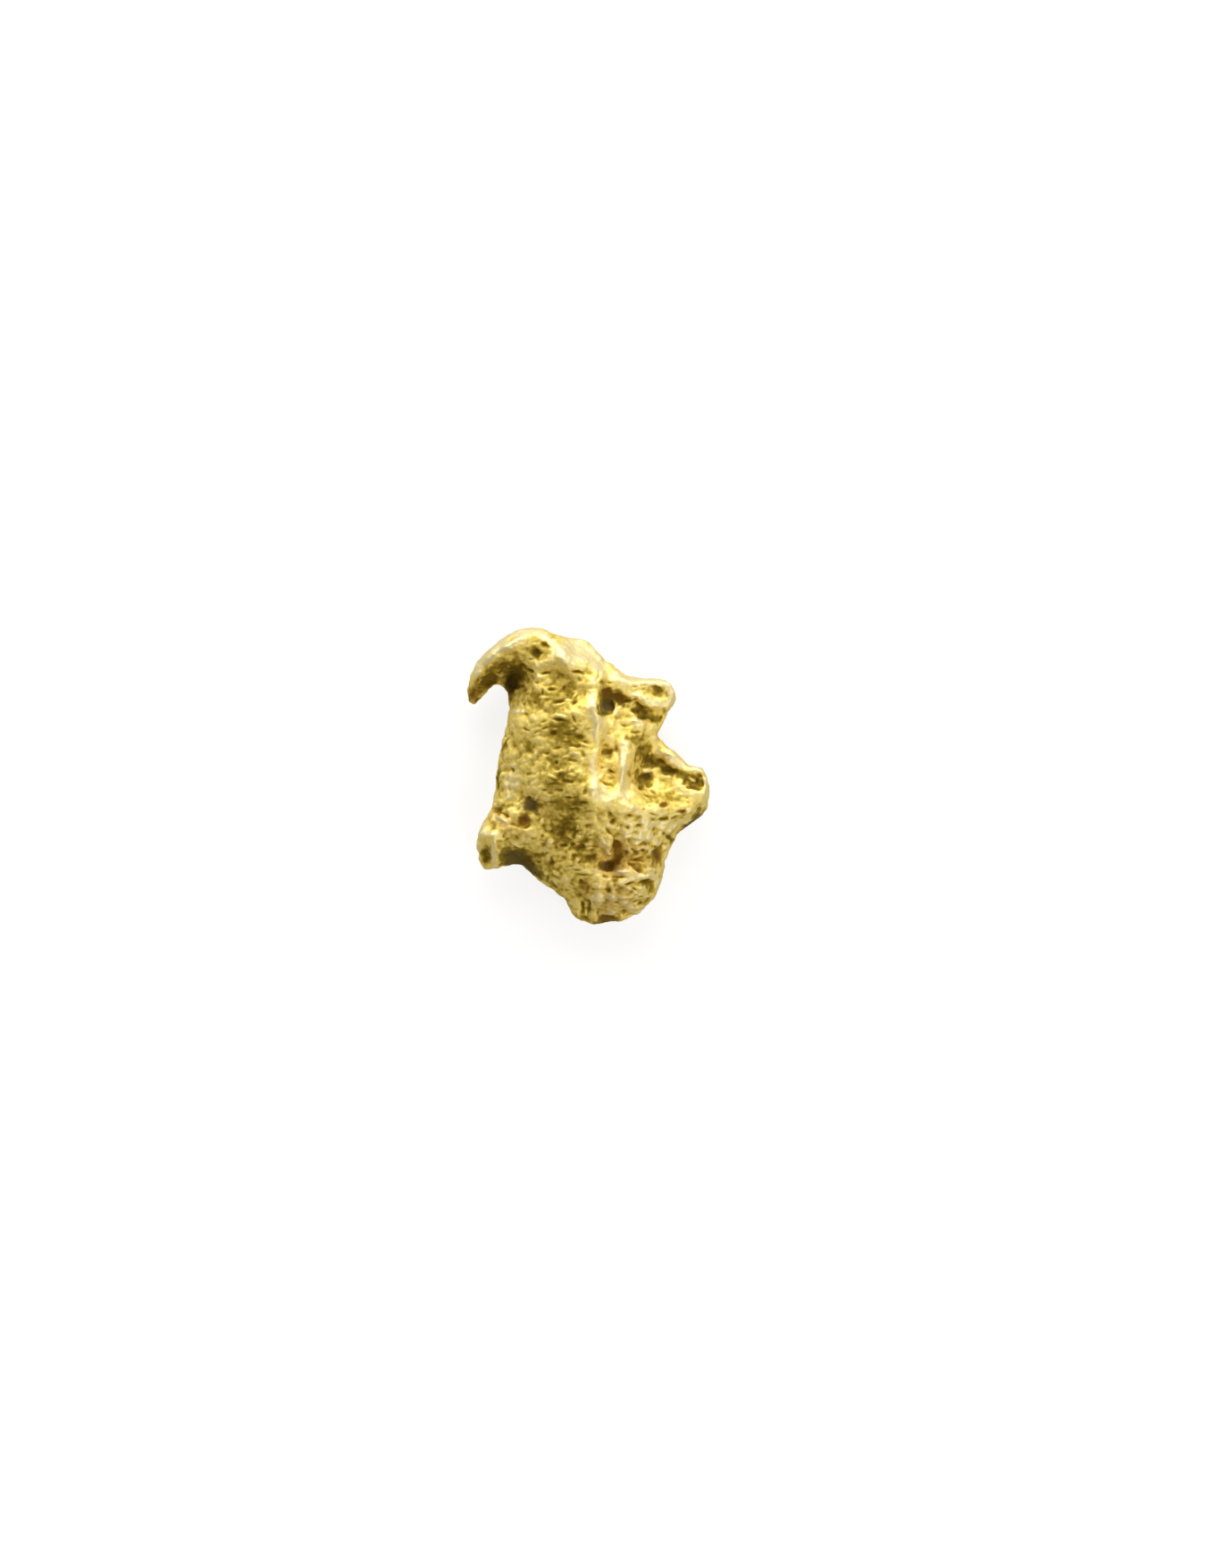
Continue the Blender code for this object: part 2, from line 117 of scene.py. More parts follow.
# The marks on the upper face are plotted on squared paper: x to the right and y down,
# half length, half width, turn in degrees, and the depth of each hollow or the height
# of each flake. All but the turn are in squares.
SQUARE = 0.0125  # side of a square of the paper, in millimetres
PAPER_MIDDLE = (661, 868.5)  # the square over the origin
HOLLOWS = {
    "hook": [
        (575, 714, 9, 2.2, 22, 2.5), (556, 741, 9, 3, 20, 1.2), (548, 757, 8, 3, 25, 1.6),
        (566, 752, 6, 2, -10, 1.4), (588, 746, 8, 3, -20, 2.2), (536, 762, 4, 3, 40, 2.2),
        (531, 777, 4, 6, -10, 1.6), (540, 770, 3, 3, 0, 1.6),
    ],
    "crest": [
        (603, 731, 5, 7, 20, 2.2), (597, 738, 5, 1.8, 0, 2.0), (613, 722, 6, 3, -20, 1.6),
        (591, 728, 8, 5, -20, 1.8), (613, 743, 4.5, 1.4, 0, 1.4), (623, 744, 3, 1.5, 25, 1.2),
        (601, 713, 4, 2.5, 0, 0.4),
    ],
    "below the crest": [
        (595, 751, 6, 2.4, -22, 3.5), (612, 753.5, 8, 2.0, 0, 2.8), (648, 753, 9.5, 2.2, -5, 3.2),
    ],
    "breast": [
        (603, 764, 2.8, 2.8, 0, 2.4), (610, 774, 2.2, 4.5, 0, 1.8), (620, 772, 5, 2.4, 0, 2.8),
        (586, 767, 3.5, 2, -20, 1.8), (627, 759, 2.2, 2.2, 0, 1.3), (651, 761, 4, 1.8, -45, 1.4),
        (634, 770, 2.6, 3.2, 0, 1.6), (640, 764, 4, 3, 0, 0.9), (629, 785, 9, 2.8, 12, 3.2),
        (645, 786, 5, 3, 25, 2.8), (589, 788, 2.4, 2.4, 0, 1.4), (571, 790, 4, 2.4, -10, 1.8),
        (591, 799, 2.4, 2.4, 0, 1.4), (600, 786, 6, 2, -15, 0.9), (628, 805.5, 8.5, 2.4, -12, 3.4),
        (645, 805, 7, 2.4, -60, 2.6), (613, 796, 4, 3.4, 0, 1.1), (612, 808, 5, 2, 20, 1.1),
    ],
    "ribs of the torso": [
        (591, 816.5, 6, 2, -22, 2.2), (604, 819, 6, 2, 12, 2.0), (612, 815, 5, 1.6, 20, 1.6),
        (622, 820.5, 4.5, 2.6, -10, 2.6), (635, 812, 9, 5, 0, 1.3), (638, 822, 8, 2, -5, 1.8),
        (651, 825, 7, 4, -15, 3.0), (657, 830.5, 5, 1.8, -15, 1.8), (594, 839, 6, 5.5, 0, 1.8),
        (614, 843, 5, 2.4, 0, 2.2), (627, 837, 6, 1.8, 10, 1.7), (646, 835, 8, 1.8, -5, 2.0),
        (625.5, 853.5, 2.8, 2.8, 0, 2.6), (655, 845, 3.2, 5.5, 10, 2.3),
        (643, 851, 8, 1.8, -10, 1.4), (596, 866, 8, 3, 0, 1.3), (594, 877, 2.4, 5, -20, 1.4),
        (638, 874, 8.5, 2.4, -12, 2.4),
        (622, 877, 8, 1.8, 8, 1.8), (611, 884, 4.5, 2.4, 0, 1.7), (628, 884, 7, 1.6, 0, 1.4),
        (657, 885, 3.2, 4.5, -10, 1.8), (640, 892, 10, 1.6, 0, 1.3), (655, 898, 6, 2.2, 0, 1.8),
        (620, 897, 9, 1.6, 0, 1.2), (668, 889, 2.5, 5, -10, 1.0),
    ],
    "left flank": [
        (567, 833, 11, 2.4, 58, 2.4), (559, 872, 2.4, 13, 0, 2.2), (575, 861, 2.4, 4.2, 12, 2.8),
        (573, 883, 2, 6, -8, 1.8), (564, 883, 3, 6, 0, 1.0), (559, 906, 6.5, 3.6, 0, 3.4),
        (568, 911.5, 7, 1.8, -25, 2.2),
    ],
    "vugs": [
        (600, 906, 6, 4, -20, 1.6), (594, 893, 6, 3, 20, 1.8), (586, 892, 4.5, 3.6, 0, 1.2),
        (588, 917, 5, 6, 0, 1.2), (592, 925, 5, 2.2, 25, 2.2), (577, 923, 5, 2.8, -10, 2.2),
        (604, 911, 5, 3.5, -30, 1.6), (583, 905, 3, 4, 0, 1.4),
    ],
    "belly": [
        (637, 915, 7, 4.5, 0, 1.2), (661, 924, 8, 4, 0, 2.8), (646, 926, 3, 2.4, 0, 1.3),
        (661, 935, 6, 1.5, -8, 1.6), (645, 935, 3.2, 4, 0, 2.0), (632, 929, 5, 7, 0, 1.0),
        (662, 908, 8, 2.2, 0, 1.7), (610, 945, 5, 3.4, 20, 1.6), (609, 935, 4, 2.4, 0, 1.4),
        (634, 946, 6, 2.6, 0, 1.8), (633, 957, 6, 8, 0, 1.0), (643, 944, 3.4, 3, 0, 2.0),
        (655, 947, 3, 3, 0, 1.5), (644, 960, 4.5, 7, 0, 2.4), (664, 957, 9, 6, 0, 1.8),
        (648, 973, 6, 1.6, -20, 1.6), (657, 978.5, 10, 1.6, -5, 1.5), (615, 983, 2.4, 4.4, 0, 2.0),
        (619, 966, 4, 4, 0, 1.3), (601, 957, 8, 4, 0, 1.8), (605, 964, 3, 2.4, 0, 1.8),
        (614, 955, 2, 1.8, 0, 1.2), (652, 986, 3.6, 4, 0, 2.3), (650, 1002, 5, 3.4, 0, 1.8),
        (660, 995, 3, 6, 0, 1.0),
    ],
    "nub": [
        (543, 951, 6, 9, 5, 1.0), (544, 963, 4, 4, 0, 0.8), (567, 934, 2.2, 4.4, -25, 1.7),
        (581, 938, 3.6, 4, 0, 1.9), (557, 927, 5, 2.6, -20, 1.2), (563, 949, 5, 4, -20, 1.4),
        (572, 929, 5, 1.8, 0, 1.0), (561, 941, 5, 1.8, -10, 1.4), (592, 945, 8, 2.2, -5, 1.4),
    ],
    "trough": [
        (682, 841, 8, 4, 20, 1.0), (681, 834, 4, 3, 0, 1.4), (692, 838, 2.6, 7, 10, 1.8),
        (686, 863, 5.5, 1.8, -30, 2.2), (677, 859, 5, 2, 0, 1.4), (681, 876, 8, 2, -25, 2.0),
        (684, 821, 7, 2.4, 18, 1.2), (707, 866, 4, 5, 0, 1.4), (704, 826, 4, 4, 0, 1.4),
        (664, 816, 5, 2, 0, 0.8),
    ],
    "socket": [
        (673, 754, 2.2, 6, -18, 2.0), (678, 763, 4, 4.4, -30, 2.8), (686, 764, 5.5, 1.8, -5, 2.2),
        (680, 776, 9, 6, 0, 1.2), (687, 792, 3.4, 9, 0, 2.2), (678, 799, 8, 3, 0, 2.4),
        (691, 779, 8, 2.6, -15, 2.0), (694, 783, 5, 2.6, -15, 1.2), (705, 784.5, 8, 2.2, 3, 2.0),
        (713, 783, 3.4, 2.2, 0, 2.2), (700, 790, 3, 1.4, 30, 1.2), (694, 773, 5, 3.6, 0, 1.1),
        (694, 803, 5, 2.6, -20, 1.4),
    ],
    "arm": [
        (713, 768, 4.4, 2.2, 0, 2.2), (723, 767, 6, 2.2, -4, 2.6), (733, 768.5, 5, 1.9, -5, 2.0),
        (723, 771, 4, 2.6, 0, 1.4), (740, 772, 6, 4, -20, 1.4), (748, 779, 3.6, 6, 0, 1.6),
        (741, 762, 3.4, 2, 0, 2.2), (713, 795, 7, 3.2, -5, 1.8), (718, 789.5, 6.5, 2, -40, 2.6),
        (724, 797, 5, 4, -30, 1.6), (723, 802, 8, 2.8, 0, 1.8), (733, 805, 5, 3, -20, 1.4),
        (743, 804, 2.8, 5.4, -8, 1.8), (746, 796, 3, 5, 20, 1.6), (702, 811, 5.6, 2.6, -5, 2.6),
    ],
    "valley": [
        (714, 819, 6, 2.2, 0, 2.4), (720, 828, 5, 2.8, 0, 1.4), (723, 837, 9, 4, 8, 1.6),
        (726.5, 846, 2.4, 7, -18, 1.6), (724, 857, 6, 2.8, 0, 2.4), (724, 868.5, 7, 4, 0, 1.8),
        (715, 863, 3, 4.6, -30, 2.0), (729, 878, 4.6, 3.6, 0, 2.2), (720, 881, 4, 3.2, 0, 2.4),
        (733, 885, 5, 1.8, -30, 1.8),
    ],
    "lobe": [
        (741, 852, 9, 2.2, -28, 2.0), (752, 861, 13, 3.6, -15, 2.0), (748, 866, 8, 2.8, 0, 1.4),
        (744, 874, 5, 4, 0, 1.0), (778, 882, 9.5, 2.8, -8, 2.4), (785, 867, 5, 3, -42, 2.0),
        (768, 875, 3, 5, -30, 2.0), (788, 876, 2.6, 6, 0, 2.0), (752, 887, 5.4, 2.6, 0, 1.2),
        (746, 900, 6, 4, 0, 2.6), (765, 908, 5.4, 3, 0, 2.2), (730, 901, 3.4, 1.6, 0, 1.2),
        (733, 911, 7, 1.7, -25, 1.8), (745, 917, 9, 2.6, -4, 1.8), (757, 914, 6, 2.2, 18, 1.8),
        (776, 910, 4, 1.8, 30, 1.6), (785, 906, 5, 3, 35, 1.6), (771, 893, 3, 1.6, 0, 0.8),
    ],
    "south slope": [
        (707, 926, 6.5, 3.6, 0, 1.9), (718, 924, 5, 3, 0, 1.1), (730, 927, 3.4, 3.2, -30, 1.8),
        (708, 913, 9, 1.6, 4, 1.2), (684, 911, 3.6, 5, 0, 2.0), (688, 919, 3, 3.4, 0, 2.0),
        (684, 930, 6.5, 2, -45, 2.2), (746, 933, 3.8, 2.8, -10, 1.9), (752, 938, 5, 2.8, -25, 2.2),
        (697, 926, 2.4, 4, 0, 1.2), (692, 945, 6, 5, 0, 1.2), (703, 953, 4.4, 3.6, 0, 2.5),
        (692, 962, 5, 7, -8, 1.4), (675, 966, 3.4, 7, 0, 1.6), (684, 971, 6, 4, 20, 1.4),
        (711, 951, 5.4, 1.9, -25, 2.2), (721, 944, 7, 2.8, 4, 2.2), (722, 951, 3.2, 2.2, 0, 2.0),
        (733, 947, 5, 2.6, 0, 1.8), (738, 956, 4, 10, 5, 1.6), (730, 938, 4, 1.6, 0, 1.2),
        (728, 959, 4, 2.6, 0, 1.4), (715, 962, 9, 2, -4, 2.0), (709, 967, 6, 2.4, -30, 2.4),
        (715, 973, 7, 2.6, -28, 2.6), (737, 977, 3.4, 2.8, -30, 1.6), (742, 982, 2.6, 3, 0, 1.5),
        (707, 943, 3, 3, 0, 1.2),
    ],
    "foot": [
        (696, 981, 9, 2.2, 0, 2.5), (680, 980, 5.4, 3, 0, 2.2), (706, 988, 9, 2, 12, 2.7),
        (725, 986.5, 8, 3, 3, 2.7), (714, 995.5, 6, 1.8, -28, 2.6), (732, 995, 3.6, 5, 0, 1.9),
        (683, 996, 4.4, 4, 0, 1.4), (717, 1002.5, 6, 1.8, -12, 2.2), (692, 1009, 4.4, 2, 0, 1.8),
        (717, 1010.5, 8, 3, -8, 2.5), (701, 1021, 5.4, 3, 0, 2.6), (690, 1017, 4.4, 2.2, 0, 1.4),
        (679, 1027, 14, 3.2, 0, 2.6), (654, 1015, 3, 8.4, 0, 2.6), (661.5, 1013, 3, 8, 0, 2.2),
        (656, 1027, 8, 3.4, -25, 2.2), (671, 1022, 2.6, 4, 0, 1.6), (709, 1023, 5, 2, 20, 1.4),
        (700, 996, 6, 5, 0, 0.9),
    ],
}
FLAKES = {
    "hook": [
        (560, 754, 6.5, 1.8, -15, 1.8), (572, 745, 3, 2.2, 0, 1.6), (579, 752, 4.5, 2.6, 0, 1.4),
        (539, 753, 4, 3, 40, 1.0),
    ],
    "breast": [
        (606, 758, 4, 2, 0, 1.2), (616, 764, 4, 3, 0, 1.2), (581, 773, 3, 3, 0, 1.8),
        (638, 784, 5, 2.4, -10, 3.0), (645, 779, 4, 2, 35, 1.8), (578, 796, 6, 3.2, 0, 1.8),
        (587, 797, 4, 3, 0, 1.6), (631, 802, 8, 2.4, -18, 3.0), (613, 781, 9, 2, -5, 1.2),
        (593, 775, 5, 2, 40, 1.0),
    ],
    "ribs of the torso": [
        (624, 816, 3.4, 1.6, 0, 1.4), (643, 816, 3.4, 2, 0, 1.4), (636, 828, 4.4, 1.8, 0, 1.4),
        (602, 844, 2.4, 5, -25, 1.4), (636, 847, 4.4, 2, 0, 1.4), (646, 843, 6, 2.4, 0, 1.2),
        (630, 863, 8, 2.2, 0, 1.9), (621, 869, 8, 1.8, -18, 1.8), (602, 875, 5, 4, 0, 1.0),
        (651, 815, 5, 1.6, -20, 1.4), (655, 833, 8, 1.4, -12, 1.4), (643, 867, 7, 1.6, -20, 1.4),
        (618, 889, 8, 1.2, 0, 1.2), (637, 889, 3, 1.4, 0, 1.2), (645, 903, 10, 1.4, 0, 1.2),
    ],
    "left flank": [
        (582, 880, 3.2, 8, 0, 1.6), (563, 916, 8, 2.8, -35, 2.4), (554, 912, 4, 3, -20, 1.2),
        (573, 905, 4, 3, 0, 1.0), (604, 891, 7, 1.8, 60, 2.4), (572, 893, 5, 2, 40, 1.2),
    ],
    "belly": [
        (609, 919, 2.4, 5, -30, 1.9), (617, 926, 4.4, 4, 0, 1.4), (650, 924, 1.8, 2.4, 0, 1.2),
        (664, 930, 5, 1.4, 18, 1.5), (661, 933, 4.4, 1.2, 18, 1.3), (651, 935, 2.8, 2.2, 0, 1.7),
        (618, 942, 2.8, 7, -25, 1.9), (616, 958, 2.6, 3, 0, 1.7), (660, 943.5, 5, 1.4, 0, 1.3),
        (664, 949, 9, 1.3, 0, 1.2), (650, 962, 4.4, 2, 0, 1.2), (643, 970, 6.4, 1.7, 0, 1.5),
        (655, 975, 8, 2.4, 0, 1.2), (668, 974, 5, 3, 0, 1.6), (613, 977, 2.4, 3.2, 0, 1.3),
        (625, 985, 6, 5, 0, 1.0), (665, 1004, 4.4, 4, 0, 1.6), (645, 1012, 3.4, 6.4, 0, 1.2),
        (658, 1021, 1.8, 6, 0, 1.4),
    ],
    "nub": [
        (554, 955, 2.8, 10, 0, 1.8), (555, 934, 4, 3, 0, 1.6), (579, 944, 9, 2, -35, 2.4),
        (600, 935, 7, 2.4, 0, 1.2), (543, 933, 5, 5, -30, 1.2),
    ],
    "trough": [
        (676, 868, 3, 4.4, -40, 1.8), (698, 850, 3.4, 12, 0, 1.0), (684, 868, 4, 1.6, -25, 1.6),
        (679, 880, 5, 1.6, -15, 1.4), (671, 808, 3, 8, 0, 1.0),
    ],
    "socket": [
        (697, 791, 3.4, 3, 20, 1.6), (710, 778, 9, 2.8, 0, 1.4), (673, 762, 2.4, 2.6, 0, 1.2),
    ],
    "arm": [
        (740, 767, 3.4, 2.4, 0, 2.0), (732, 790, 9, 2.4, -3, 1.6), (713, 807, 7, 2.6, 0, 1.7),
    ],
    "valley": [
        (726, 862.5, 6, 2.3, 0, 3.4), (729, 843, 2.4, 3.4, 0, 1.6), (740, 845, 6, 2, -30, 1.2),
    ],
    "lobe": [
        (777, 872, 5, 2.8, -35, 3.4), (766, 889, 9, 2, 0, 1.2),
    ],
    "south slope": [
        (676, 939, 7, 2.6, -50, 2.6), (683, 953, 6, 2.4, -55, 2.4), (686, 936, 2.8, 2.6, 0, 1.8),
        (676, 915, 4.4, 3, -40, 1.8), (683, 922, 3.4, 2.4, 0, 1.4), (715, 958, 6, 2.2, 18, 1.7),
        (746, 948, 3.6, 3.4, 0, 2.4), (730, 973, 9, 2.6, 5, 1.4), (706, 936, 8, 2.4, 5, 1.2),
        (716, 949, 5, 1.6, 15, 1.4), (720, 935, 4, 1.6, 0, 1.0),
    ],
    "foot": [
        (696, 975, 8, 2.4, -8, 2.5), (720, 981, 15, 2.6, 6, 2.5), (697, 989, 3.4, 2, 0, 1.5),
        (686, 989, 3.4, 3, 0, 1.5), (720, 993, 5, 2, -8, 2.6), (683, 1004, 6, 2, 0, 1.3),
        (706, 1014.5, 7, 2.8, 0, 1.7), (685, 1021.5, 6, 1.8, 0, 1.5), (674, 1010, 6, 3, 0, 1.0),
        (727, 1003, 4, 1.6, 0, 1.2),
    ],
}


def on_paper(where):
    """The squares of the paper that points of the skin lie under."""
    return np.array(PAPER_MIDDLE) + where[:, :2] * (1, -1) / SQUARE


FADED = 1.4  # a mark has faded out where its distance in half sizes, squared, is this


def marks(plan, rows):
    """The height, in squares, that the marks of these rows have at each point."""
    height = np.zeros(len(plan))
    for x, y, half_length, half_width, turn, rise in rows:
        offset = (plan - (x, y)) * (1, -1)
        close = np.abs(offset).max(axis=1) < math.sqrt(FADED) * max(half_length, half_width)
        angle = math.radians(turn)
        along = offset[close] @ (math.cos(angle), math.sin(angle)) / half_length
        across = offset[close] @ (-math.sin(angle), math.cos(angle)) / half_width
        reach = np.clip((along**2 + across**2) / FADED, 0, 1)
        height[close] += rise * (1 - reach) ** 2
    return height


def drawn(plan, groups):
    return sum(marks(plan, rows) for rows in groups.values())


# The finish of the upper face, with light and shade painted into it, is plotted like the marks,
# with a strength in hundredths in place of the depth. Burnished patches are paler: wear on
# what stands out, and painted highlight on faces turned to the lamps. Dulled patches are darker:
# dirt, and painted shade on faces turned from the lamps, under overhangs and in hollows. Iron
# from the stream has made it rusty, grit fills the deep places and is painted as shade under
# the overhangs, and where it is grainy the wrinkles are stronger.
# Paler patches: wear on what stands out, and painted highlight on the faces the lamps light, such
# as the hook's outer edge, the cap and the spine.
BURNISHED_AND_PAINTED_HIGHLIGHTS = {
    "outside of the hook": [
        (536, 748, 15, 6, 60, 100), (553, 729, 26, 9, 42, 100), (575, 713, 22, 9, 25, 100),
    ],
    "rim of the crest": [
        (598, 706, 14, 6, 0, 80), (620, 722, 20, 6, -50, 80), (570, 728, 14, 5, 20, 50),
    ],
    "cap": [
        (648, 728, 26, 18, -20, 100), (672, 745, 14, 10, -30, 90), (694, 757, 16, 8, -20, 80),
    ],
    "arm": [
        (722, 763, 26, 9, 0, 90), (715, 777, 12, 6, 0, 50), (735, 787, 18, 5, -8, 60),
        (755, 775, 5, 12, 10, 50), (752, 786, 8, 5, 40, 50),
    ],
    "edge of the torso": [
        (664, 790, 6, 22, 0, 70), (668, 820, 8, 24, 0, 60), (669, 862, 7, 22, 0, 70),
        (672, 885, 9, 14, -20, 70),
    ],
    "foot of the socket": [
        (678, 807, 11, 6, 0, 70), (696, 812, 6, 6, 0, 40), (711, 808, 10, 5, 0, 40),
    ],
    "spine": [
        (698, 852, 9, 28, 0, 100), (702, 882, 8, 20, 0, 70), (680, 890, 14, 10, 0, 70),
        (680, 858, 7, 20, 0, 15),
    ],
    "saddle": [
        (712, 896, 24, 9, 0, 10), (775, 893, 16, 8, 0, 10), (745, 922, 20, 5, 0, 70),
        (763, 920, 12, 4, 25, 60),
    ],
    # Painted glints: two small bright spots standing in for highlights on flakes.
    "painted glints": [
        (777, 872, 6, 3.4, -35, 100), (726, 862, 6, 2.6, 0, 100),
    ],
    "rim of the lobe": [
        (738, 842, 5, 12, 20, 70), (755, 850, 14, 5, -30, 70), (778, 858, 12, 4, -10, 60),
        (793, 880, 4, 12, 0, 50),
    ],
    "south slope": [
        (718, 930, 42, 18, -3, 45), (690, 1004, 34, 18, 0, 10),
    ],
    "brow of the foot": [
        (697, 974, 10, 4, -10, 60), (722, 981, 22, 5, 5, 80), (738, 988, 5, 6, 0, 50),
    ],
    "nub": [
        (543, 928, 9, 12, -20, 50), (556, 955, 4, 16, 0, 30), (562, 918, 12, 5, -35, 50),
        (556, 933, 8, 6, 0, 40),
    ],
    "left side": [
        (582, 795, 12, 7, 0, 40), (576, 872, 9, 26, 0, 50),
    ],
    "foot": [
        (672, 1003, 12, 8, 0, 30), (706, 1014, 8, 5, 0, 40), (722, 994, 5, 3, 0, 40),
    ],
    "right rib of the waist": [
        (678, 944, 4, 14, 25, 60), (612, 950, 5, 14, 20, 30),
    ],
}
# Darker patches: dirt, and painted shade inside the hook, under the nub and the lobe, in the
# socket and the valley, and along the shaded lower edges.
DULLED_AND_PAINTED_SHADE = {
    "inside of the hook": [
        (550, 755, 22, 9, 30, 80), (531, 779, 14, 15, 0, 100), (548, 764, 18, 9, 35, 100),
        (575, 745, 18, 9, -5, 90), (573, 770, 10, 22, 0, 100), (585, 755, 14, 9, -20, 100),
    ],
    "breast": [
        (622, 780, 42, 24, 0, 52),
    ],
    "middle of the torso": [
        (630, 818, 30, 18, 0, 60), (645, 832, 22, 9, -10, 50), (596, 838, 9, 10, 0, 40),
        (625, 848, 30, 14, 0, 40),
    ],
    "torso": [
        (632, 872, 30, 16, 0, 54), (640, 900, 30, 16, 0, 58),
    ],
    "belly": [
        (632, 930, 28, 24, 0, 70), (655, 955, 22, 16, 0, 70), (620, 965, 24, 14, 0, 50),
        (655, 990, 14, 18, 0, 40),
    ],
    "left flank": [
        (558, 872, 5, 24, 0, 60), (563, 905, 12, 8, 0, 40), (568, 835, 12, 4, 58, 50),
    ],
    "round the vugs": [
        (597, 900, 16, 12, 0, 70), (588, 918, 12, 10, 0, 60),
    ],
    "under the nub": [
        (578, 958, 24, 13, -10, 100), (576, 967, 18, 7, 0, 100), (598, 972, 22, 9, -35, 100),
        (544, 959, 8, 14, 0, 80),
    ],
    "crest": [
        (603, 730, 8, 10, 10, 90), (614, 722, 9, 5, -20, 70), (575, 714, 11, 3.5, 20, 80),
    ],
    "socket": [
        (681, 783, 15, 22, 0, 100), (698, 782, 12, 8, 0, 60),
    ],
    "arm": [
        (722, 797, 16, 9, -30, 40), (738, 804, 10, 6, 0, 45), (739, 773, 12, 8, -10, 45),
        (722, 769, 12, 4, 0, 40),
    ],
    "valley": [
        (724, 842, 12, 14, 0, 80), (724, 870, 14, 14, 0, 85), (716, 825, 12, 8, 0, 60),
        (705, 860, 5, 14, 0, 30),
    ],
    "groove of the lobe": [
        (742, 857, 20, 8, -22, 90), (762, 866, 14, 7, -15, 90), (778, 874, 14, 12, -20, 90),
    ],
    "south slope": [
        (690, 945, 12, 14, 0, 50), (715, 960, 24, 12, 0, 40), (738, 958, 7, 12, 0, 60),
        (692, 962, 10, 8, 0, 40), (715, 970, 14, 7, -25, 60), (752, 938, 8, 6, -30, 40),
    ],
    "saddle": [
        (742, 893, 34, 7, 0, 50), (746, 900, 6, 4, 0, 90), (765, 908, 5, 3.4, 0, 70),
        (740, 917, 18, 3, -5, 40),
    ],
    "under the lobe": [
        (777, 921, 26, 6, 47, 100), (757, 945, 6, 8, 30, 60), (690, 915, 8, 14, 0, 40),
    ],
    "foot": [
        (657, 1015, 8, 18, 0, 60), (680, 1032, 28, 8, 3, 100), (648, 1029, 12, 7, -40, 90),
        (712, 990, 14, 6, 10, 40), (728, 990, 10, 8, 0, 40), (718, 1008, 14, 5, -5, 40),
        (685, 990, 16, 8, 0, 30), (736, 1000, 5, 10, 20, 30),
    ],
    "lower left edge": [
        (620, 990, 22, 6, -40, 50), (640, 1012, 8, 14, 25, 40),
    ],
}
RUSTY = [
    (590, 917, 7, 7, 0, 90), (603, 909, 4, 3, 0, 50), (570, 922, 32, 16, -20, 45),
    (559, 908, 6, 4, 0, 70), (738, 779, 4, 3, 0, 90), (746, 900, 7, 5, 0, 100),
    (765, 908, 6, 4, 0, 90), (750, 846, 6, 4, -30, 50), (738, 827, 4, 5, 0, 50),
    (680, 773, 10, 6, 0, 70), (697, 781, 12, 4, -10, 60), (534, 776, 7, 7, 0, 60),
    (740, 957, 6, 10, 0, 60), (692, 944, 7, 8, 0, 40), (682, 1028, 22, 6, 0, 50),
    (776, 880, 12, 5, -10, 30), (736, 965, 3, 5, 0, 60), (700, 962, 50, 26, 0, 60),
    (690, 1008, 36, 26, 0, 50), (658, 990, 7, 12, 0, 60),
]
GRAINY = [
    (718, 932, 46, 24, -5, 100), (740, 912, 40, 12, 0, 40), (640, 940, 44, 34, 0, 50),
    (690, 1003, 44, 30, 0, 80), (632, 985, 20, 20, 0, 50), (570, 872, 12, 34, 0, 50),
]
# Dark grey grit: a grey grain in the socket, and painted shade under the hook, the nub and the
# lobe and along the foot's lower edge.
GRIT_AND_PAINTED_SHADE = [
    (680, 791, 11, 10, 0, 100), (596, 900, 12, 12, 0, 90), (578, 957, 18, 7, -8, 80),
    (682, 968, 9, 8, 0, 60), (777, 921, 26, 5, 47, 100), (573, 766, 9, 18, -15, 80),
    (598, 972, 20, 7, -35, 80), (668, 973, 6, 3, 0, 40), (738, 957, 4, 8, 0, 40),
    (576, 967, 18, 6, 0, 100), (680, 1032, 24, 5, 3, 50),
]


# The outline of every mark wavers, and the soft edges of the finish and of its painted light and
# shade waver more.
WAVER_LENGTH = 0.09  # in millimetres
WAVER_SHIFTS = (11, 23)  # which set the noise across apart from the noise along
MARKS_WAVER, SPOTS_WAVER, PATCHES_WAVER = 1, 3, 4  # in squares

# How steeply up the skin faces where the marks, and the finish with its painted light and shade,
# begin, and over how much more they grow to their full strength. The finish and the painted shade
# go on a little way under the edge.
MARKS_BEGIN, MARKS_GROW = 0, 0.35
FINISH_AND_PAINTED_LIGHT_BEGINS, FINISH_AND_PAINTED_LIGHT_GROWS = -0.35, 0.4

where = places(skin)
out = facings(skin)
waver = np.column_stack([roughness_of(where + s, WAVER_LENGTH) for s in WAVER_SHIFTS])
marks_plan = on_paper(where) + MARKS_WAVER * waver
spots_plan = on_paper(where) + SPOTS_WAVER * waver
patches_plan = on_paper(where) + PATCHES_WAVER * waver
upper = np.clip((out[:, 2] - MARKS_BEGIN) / MARKS_GROW, 0, 1)
seen = np.clip((out[:, 2] - FINISH_AND_PAINTED_LIGHT_BEGINS) / FINISH_AND_PAINTED_LIGHT_GROWS, 0, 1)

hollows = upper * drawn(marks_plan, HOLLOWS)
flakes = upper * drawn(marks_plan, FLAKES)
